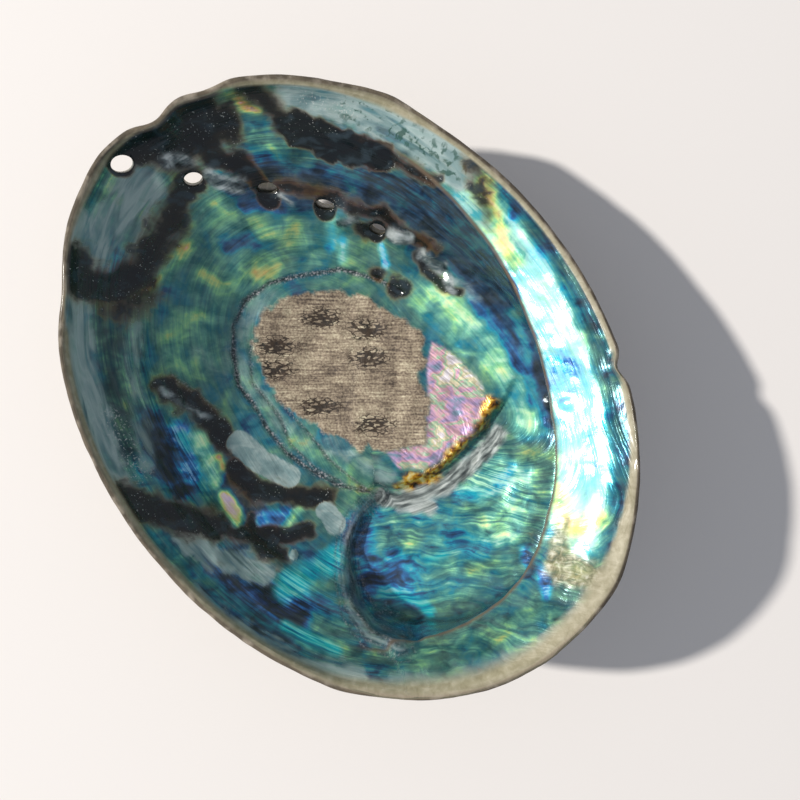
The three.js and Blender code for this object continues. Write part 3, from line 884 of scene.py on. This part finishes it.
for name, values in stored.items():
    layer = shell.data.attributes.new(name, "FLOAT", "POINT")
    layer.data.foreach_set("value", values[nearest].astype(np.float32))
layer = shell.data.attributes.new("flow", "FLOAT_VECTOR", "POINT")
layer.data.foreach_set("vector", flow[nearest].astype(np.float32).ravel())
print("stored", len(stored) + 1, "fields")

# %% [markdown]
# ## Mother-of-pearl and what lies on it
# One material paints the whole shell, because one animal laid it down without a break. It is mother-of-pearl,
# polished inside: thin clear layers that give the eye a wet gloss with coloured depth. Horn over it is black
# glass with a brown edge, milk is silk, and the scar and the back are matt chalk. The noises are sized in
# millimetres, from growth lines of about 1 mm to clouds of 7 mm.

# %% Noises that the layers share
nacre, tree = new_material("mother_of_pearl_and_horn")
field = {name: add(tree, "ShaderNodeAttribute", attribute_name=name).outputs["Fac"] for name in stored}
flow_out = add(tree, "ShaderNodeAttribute", attribute_name="flow").outputs["Vector"]
wall_out = add(tree, "ShaderNodeCombineXYZ", {0: field["from_ridge"], 1: field["age"]}).outputs[0]
place_out = add(tree, "ShaderNodeTexCoord").outputs["Object"]
IN_MM = (1 / MM, 1 / MM, 1 / MM)
FAN_TURN = math.radians(12)  # the rays beside the golden ridge run this way
turned = add(tree, "ShaderNodeMapping", {
    "Vector": place_out, "Rotation": (0, 0, -MUSCLE_TURN), "Scale": IN_MM}).outputs[0]
fan_out = add(tree, "ShaderNodeMapping", {
    "Vector": place_out, "Rotation": (0, 0, -FAN_TURN), "Scale": IN_MM}).outputs[0]
noises = {}
for name, vector, size, scale, detail, warp in [
    ("streak", flow_out, (0.9, 1, 1), 1, 4, 0.3),  # thin growth lines, about 1 mm apart
    ("band", flow_out, (3.6, 1, 1), 1, 3, 0.6),
    ("blotch", turned, (1, 1, 1), 1 / 7, 5, 0.6),  # cloudy patches of some 7 mm
    ("patch", turned, (1.5, 0.9, 1.2), 1 / 3.0, 5, 0.45),
    ("fine", turned, (1, 1, 1), 1 / 1.6, 5, 0.4),
    ("grain", turned, (1, 1, 1), 1 / 0.5, 3, 0),
    ("stripe", turned, (7, 0.5, 7), 1, 4, 0.1),  # the muscle scar's stripes
    ("ray", fan_out, (5, 0.45, 5), 1, 4, 0.3),  # the fine rays between the scar and the golden ridge
    ("wall", wall_out, (1.0, 0.06, 1), 1, 4, 0.5),  # thin ledges along the golden ridge
]:
    sized = add(tree, "ShaderNodeVectorMath", {0: vector, 1: size}, operation="DIVIDE").outputs[0]
    noises[name] = add(tree, "ShaderNodeTexNoise", {
        "Vector": sized, "Scale": scale, "Detail": detail, "Distortion": warp}).outputs["Fac"]
print("noises:", len(noises))

# %% [markdown]
# ## Pearl
# The slide of colours is the one that thin layers give, from deep blue through teal and green to gold and
# rose. Streaks and blotches push the film field along it, so neighbouring lines differ in hue. Where the
# brightness runs highest, with its painted highlights, the colour is painted whitish as a highlight.

# %% Pearl
film_out = field["film"]
lined_streak = add(tree, "ShaderNodeMix", {
    0: field["lined"], 2: noises["blotch"], 3: noises["streak"]}).outputs[0]
lined_patch = add(tree, "ShaderNodeMix", {0: field["lined"], 2: 0.5, 3: noises["patch"]}).outputs[0]
for source, push in [
    (lined_streak, 0.42),
    (noises["band"], 0.24),
    (noises["blotch"], 0.46),
    (lined_patch, 0.46),
]:
    centred = add(tree, "ShaderNodeMath", {0: source, 1: 0.5}, operation="SUBTRACT").outputs[0]
    film_out = add(tree, "ShaderNodeMath", {
        0: centred, 1: push, 2: film_out}, operation="MULTIPLY_ADD").outputs[0]
pearl = add(tree, "ShaderNodeValToRGB", {0: film_out}, [
    (0.0, "#10192c"), (0.1, "#1b3566"), (0.2, "#2167a6"), (0.3, "#129ab2"), (0.38, "#449390"),
    (0.47, "#62a690"), (0.55, "#84c48a"), (0.63, "#c3d47c"), (0.71, "#d9b060"), (0.8, "#cf96a4"),
    (0.9, "#9a80d8"), (1.0, "#3fb4ea"),
]).outputs[0]
bright = add(tree, "ShaderNodeMapRange", {0: lined_streak, 1: 0.35, 2: 0.65, 3: 0.6, 4: 1.4}).outputs[0]
cloudy = add(tree, "ShaderNodeMapRange", {0: lined_patch, 1: 0.3, 2: 0.7, 3: 0.3, 4: 1.75}).outputs[0]
for factor in (cloudy, field["brightness_and_painted_light"], 1.5):
    bright = add(tree, "ShaderNodeMath", {0: bright, 1: factor}, operation="MULTIPLY").outputs[0]
pearl = add(tree, "ShaderNodeVectorMath", {0: pearl, "Scale": bright}, operation="SCALE").outputs[0]
bright = add(tree, "ShaderNodeMath", {0: bright, 1: 2.5}, operation="MINIMUM").outputs[0]
# Painted highlight: the brightest places are mixed towards near-white.
painted_highlight_white = add(tree, "ShaderNodeMapRange", {0: bright, 1: 2.0, 2: 3.2, 3: 0, 4: 0.8}).outputs[0]
pearl = add(tree, "ShaderNodeMix", {0: painted_highlight_white, 6: pearl, 7: linear("#f4fffb")}, data_type="RGBA").outputs[2]

# %% [markdown]
# ## The other colours
# Each layer takes its colour from one noise through a ramp of its own, so no layer is one flat tone. Some mix
# two noises: the scar has stripes, grains and clouds, and milk follows the growth lines where there are any.

# %% Colours of the other layers
front_mix = add(tree, "ShaderNodeMix", {0: 0.5, 2: noises["blotch"], 3: noises["patch"]}).outputs[0]
grey_mix = add(tree, "ShaderNodeMix", {0: 0.3, 2: noises["wall"], 3: noises["patch"]}).outputs[0]
milk_mix = add(tree, "ShaderNodeMix", {
    0: field["lined"], 2: noises["patch"], 3: noises["band"]}).outputs[0]
scar_mix = add(tree, "ShaderNodeMix", {0: 0.5, 2: noises["stripe"], 3: noises["grain"]}).outputs[0]
scar_cloud = add(tree, "ShaderNodeMath", {0: noises["blotch"], 1: 0.5}, operation="SUBTRACT").outputs[0]
scar_mix = add(tree, "ShaderNodeMath", {
    0: scar_cloud, 1: 0.5, 2: scar_mix}, operation="MULTIPLY_ADD").outputs[0]
ramps = {}
for name, source, stops in [
    ("milk_and_painted_sky", milk_mix, [(0.3, "#728e8f"), (0.45, "#8aa4a3"), (0.56, "#a9bcb8"), (0.7, "#8aaaa4")]),
    ("scar", scar_mix, [(0.32, "#4a3e33"), (0.43, "#7a6a58"), (0.51, "#998872"), (0.59, "#b4a48a"),
                        (0.7, "#dccfb0")]),
    ("front", front_mix, [(0.38, "#7d93a6"), (0.44, "#b79ac0"), (0.49, "#dcaab2"), (0.53, "#9cc4a4"),
                          (0.57, "#dccfa8"), (0.63, "#f4eaf0")]),
    ("seam", noises["grain"], [(0.35, "#151d1f"), (0.5, "#3c474a"), (0.58, "#75797a"), (0.7, "#b3a9ab")]),
    ("grey", grey_mix, [(0.34, "#2c3435"), (0.43, "#636a68"), (0.5, "#8c9490"), (0.57, "#b4bbb6"),
                        (0.67, "#dfe3de")]),
    ("gold", noises["fine"], [(0.3, "#2c1a06"), (0.42, "#83500e"), (0.5, "#c78c1c"), (0.58, "#e6b944"),
                              (0.7, "#f6e6a0")]),
    ("painted_glint", noises["streak"], [(0.3, "#0c6f93"), (0.42, "#10a6c0"), (0.52, "#1cced0"), (0.66, "#8ff2e8")]),
    ("tan", noises["fine"], [(0.32, "#4d5138"), (0.45, "#7b7350"), (0.54, "#a39a78"), (0.66, "#cfcab4")]),
    ("painted_sky_reflection", noises["patch"], [(0.35, "#23282b"), (0.48, "#6d7779"), (0.56, "#aab2b1"),
                                 (0.68, "#dfe5e3")]),
    ("hatch", noises["fine"], [(0.3, "#17110b"), (0.7, "#3d2c1a")]),
    ("rim", noises["fine"], [(0.3, "#938b6e"), (0.5, "#a49c80"), (0.7, "#b6ae94")]),
]:
    ramps[name] = add(tree, "ShaderNodeValToRGB", {0: source}, stops).outputs[0]
rays = add(tree, "ShaderNodeMapRange", {0: noises["ray"], 1: 0.38, 2: 0.62, 3: 0.7, 4: 1.35}).outputs[0]
ramps["front"] = add(tree, "ShaderNodeVectorMath", {
    0: ramps["front"], "Scale": rays}, operation="SCALE").outputs[0]

# %% [markdown]
# ## Horn and back
# Horn is darkest at its heart and thins to brown and gold at its edge, where light comes through it. The
# back's colours follow its age, with a chalky crust over brown and dull green bands.

# %% Horn and back
horn_noise = add(tree, "ShaderNodeMath", {0: noises["patch"], 1: noises["blotch"]}, operation="ADD").outputs[0]
horn_noise = add(tree, "ShaderNodeMath", {0: horn_noise, 1: 1.0}, operation="SUBTRACT").outputs[0]
horn_level = add(tree, "ShaderNodeMath", {
    0: horn_noise, 1: 0.7, 2: field["horn"]}, operation="MULTIPLY_ADD").outputs[0]
ramps["horn"] = add(tree, "ShaderNodeValToRGB", {0: horn_level}, [
    (0.12, "#6b7a4c"), (0.32, "#86691c"), (0.46, "#5a3b10"), (0.62, "#22190d"), (0.85, "#070809")]).outputs[0]
horn_amount = add(tree, "ShaderNodeMapRange", {
    0: horn_level, 1: 0.08, 2: 0.7, 3: 0, 4: 0.98}, interpolation_type="SMOOTHSTEP").outputs[0]

BANDS = 14.0  # colour bands from the spire to the growing edge
age_wave = add(tree, "ShaderNodeMath", {
    0: field["age"], 1: BANDS, 2: noises["band"]}, operation="MULTIPLY_ADD").outputs[0]
age_noise = add(tree, "ShaderNodeTexNoise", {
    "Scale": 1.0, "Detail": 4, "W": age_wave}, noise_dimensions="1D").outputs["Fac"]
back_mix = add(tree, "ShaderNodeMath", {
    0: noises["blotch"], 1: 0.5, 2: age_noise}, operation="MULTIPLY_ADD").outputs[0]
ramps["back"] = add(tree, "ShaderNodeValToRGB", {0: back_mix}, [
    (0.5, "#4f4638"), (0.62, "#665b4a"), (0.7, "#7d725d"), (0.78, "#64634e"), (0.9, "#918570")]).outputs[0]
crust = add(tree, "ShaderNodeMath", {0: field["crust"], 1: noises["fine"]}, operation="ADD").outputs[0]
chalk = add(tree, "ShaderNodeMapRange", {0: crust, 1: 0.5, 2: 1.3, 3: 0, 4: 0.5}).outputs[0]

# %% [markdown]
# ## The scar's cracks
# Cracks branch and meet, so they are the edges of warped cells, long along the stripes. A crack is widest in
# the middle of its cluster and runs out at the cluster's edge, because the cluster's field sets its width.

# %% The scar's cracks
crack_place = add(tree, "ShaderNodeVectorMath", {0: turned, 1: (2.2, 0.9, 2.2)}, operation="DIVIDE").outputs[0]
crack_warp = add(tree, "ShaderNodeTexNoise", {
    "Vector": crack_place, "Scale": 1.3, "Detail": 3}).outputs["Color"]
crack_place = add(tree, "ShaderNodeVectorMath", {
    0: crack_warp, 1: (1.2, 1.2, 1.2), 2: crack_place}, operation="MULTIPLY_ADD").outputs[0]
crack = add(tree, "ShaderNodeTexVoronoi", {
    "Vector": crack_place, "Scale": 1.0}, feature="DISTANCE_TO_EDGE").outputs["Distance"]
hatch_width = add(tree, "ShaderNodeMath", {0: field["hatch"], 1: 0.27}, operation="MULTIPLY").outputs[0]
hatch_level = add(tree, "ShaderNodeMath", {0: hatch_width, 1: crack}, operation="SUBTRACT").outputs[0]
hatch_edge = add(tree, "ShaderNodeMapRange", {0: hatch_level, 1: 0.0, 2: 0.06, 3: 0, 4: 0.95}).outputs[0]
hatch_amount = add(tree, "ShaderNodeMath", {
    0: hatch_edge, 1: field["scar"]}, operation="MULTIPLY", use_clamp=True).outputs[0]

# %% [markdown]
# ## How much of each layer
# Milk thins along its own noise. Painted reflections of the sky lie in patches on the horn, and painted glints
# speckle it. Specks are crumbs of lime near the rim, and moss is the green stain between them.

# %% Amounts
less_inner = add(tree, "ShaderNodeMath", {0: 1.0, 1: field["inner"]}, operation="SUBTRACT").outputs[0]
milk_noise = add(tree, "ShaderNodeMapRange", {0: milk_mix, 1: 0.35, 2: 0.6, 3: 0.5, 4: 1.25}).outputs[0]
glint_cloud = add(tree, "ShaderNodeMapRange", {0: noises["blotch"], 1: 0.46, 2: 0.58, 3: 0, 4: 1}).outputs[0]
glints_on_horn = add(tree, "ShaderNodeMath", {0: glint_cloud, 1: horn_amount}, operation="MULTIPLY").outputs[0]
milk_and_sky_amount = add(tree, "ShaderNodeMath", {
    0: milk_noise, 1: field["milk_and_painted_sky"]}, operation="MULTIPLY", use_clamp=True).outputs[0]
amounts = {}
for name, source, low, high, most, where in [
    ("painted_horn_reflection", noises["patch"], 0.53, 0.68, 0.75, horn_amount),
    ("painted_horn_glints", noises["grain"], 0.65, 0.69, 0.55, glints_on_horn),
    ("speck", noises["grain"], 0.57, 0.66, 0.6, field["speck"]),
    ("moss", noises["fine"], 0.54, 0.62, 0.8, field["moss"]),
]:
    spots = add(tree, "ShaderNodeMapRange", {0: source, 1: low, 2: high, 3: 0, 4: most}).outputs[0]
    amounts[name] = add(tree, "ShaderNodeMath", {0: spots, 1: where}, operation="MULTIPLY").outputs[0]
chalky = add(tree, "ShaderNodeMath", {0: chalk, 1: less_inner}, operation="MULTIPLY").outputs[0]

# %% [markdown]
# ## Stacking the layers
# Roughness tells the eye as much as colour: pearl and horn are glossy, milk is silky, the scar and the back
# are matt. The pearl gets some metal, because its reflections carry its own colours.

# %% Layers
colour, gloss, metal = pearl, 0.21, 0.45
for amount, tone, rough, metal_share in [
    # Milky pearl. Beside the rim on the lamp's side it is also a painted reflection of the sky.
    (milk_and_sky_amount, ramps["milk_and_painted_sky"], 0.38, 0.12),
    # Painted glint of the lamp in pure blue-green.
    (field["painted_glint"], ramps["painted_glint"], 0.22, 0.35),
    (amounts["moss"], linear("#2c5548"), 0.35, 0.1),
    (amounts["speck"], linear("#d5d8d2"), 0.5, 0.0),
    (field["front"], ramps["front"], 0.35, 0.3),
    (field["grey"], ramps["grey"], 0.4, 0.1),
    (field["scar"], ramps["scar"], 0.62, 0.0),
    (hatch_amount, ramps["hatch"], 0.5, 0.0),
    (field["seam"], ramps["seam"], 0.5, 0.0),
    (field["gold"], ramps["gold"], 0.3, 0.5),
    (horn_amount, ramps["horn"], 0.2, 0.0),
    # Painted reflection of the sky in patches on the horn.
    (amounts["painted_horn_reflection"], linear("#39474f"), 0.14, 0.35),
    # Painted glints: pale specks scattered over the horn.
    (amounts["painted_horn_glints"], linear("#cdd0cb"), 0.5, 0.0),
    # Painted reflection of the sky on the swellings behind the pores.
    (field["painted_sky_reflection"], ramps["painted_sky_reflection"], 0.18, 0.4),
    (field["tan"], ramps["tan"], 0.45, 0.0),
    (field["lip"], linear("#6a5946"), 0.4, 0.0),
    (field["rim"], ramps["rim"], 0.5, 0.0),
    (less_inner, ramps["back"], 0.8, 0.0),
]:
    colour = add(tree, "ShaderNodeMix", {0: amount, 6: colour, 7: tone}, data_type="RGBA").outputs[2]
    gloss = add(tree, "ShaderNodeMix", {0: amount, 2: gloss, 3: rough}).outputs[0]
    metal = add(tree, "ShaderNodeMix", {0: amount, 2: metal, 3: metal_share}).outputs[0]
colour = add(tree, "ShaderNodeMix", {0: chalky, 6: colour, 7: linear("#b5aa98")}, data_type="RGBA").outputs[2]

# %% [markdown]
# ## Surface
# Growth lines, fine pits and the back's grit are too small for the mesh, so a bump of a quarter of a
# millimetre carries them. A thin clear coat gives the wet look of polished pearl.

# %% Surface
BUMP = 0.25 * MM
bumps = add(tree, "ShaderNodeMath", {0: noises["streak"], 1: field["inner"]}, operation="MULTIPLY").outputs[0]
bumps = add(tree, "ShaderNodeMath", {0: noises["fine"], 1: 0.6, 2: bumps}, operation="MULTIPLY_ADD").outputs[0]
bumps = add(tree, "ShaderNodeMath", {
    0: less_inner, 1: noises["grain"], 2: bumps}, operation="MULTIPLY_ADD").outputs[0]
relief = add(tree, "ShaderNodeBump", {"Strength": 0.5, "Distance": BUMP, "Height": bumps})
shader = add(tree, "ShaderNodeBsdfPrincipled", {
    "Base Color": colour, "Roughness": gloss, "Metallic": metal, "Coat Weight": 0.15, "Coat Roughness": 0.12,
    "Normal": relief.outputs[0]})
add(tree, "ShaderNodeOutputMaterial", {"Surface": shader.outputs[0]})
print("material:", len(tree.nodes), "nodes")

# %% [markdown]
# ## Hand the piece over
# The finished mesh stands in for the imported part's one node and rides on its root.

# %% Finish
shell.data.materials.clear()
shell.data.materials.append(nacre)
bpy.ops.object.select_all(action="DESELECT")
shell.select_set(True)
bpy.context.view_layer.objects.active = shell
bpy.ops.object.shade_smooth()
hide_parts("shell")
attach(shell, "root")
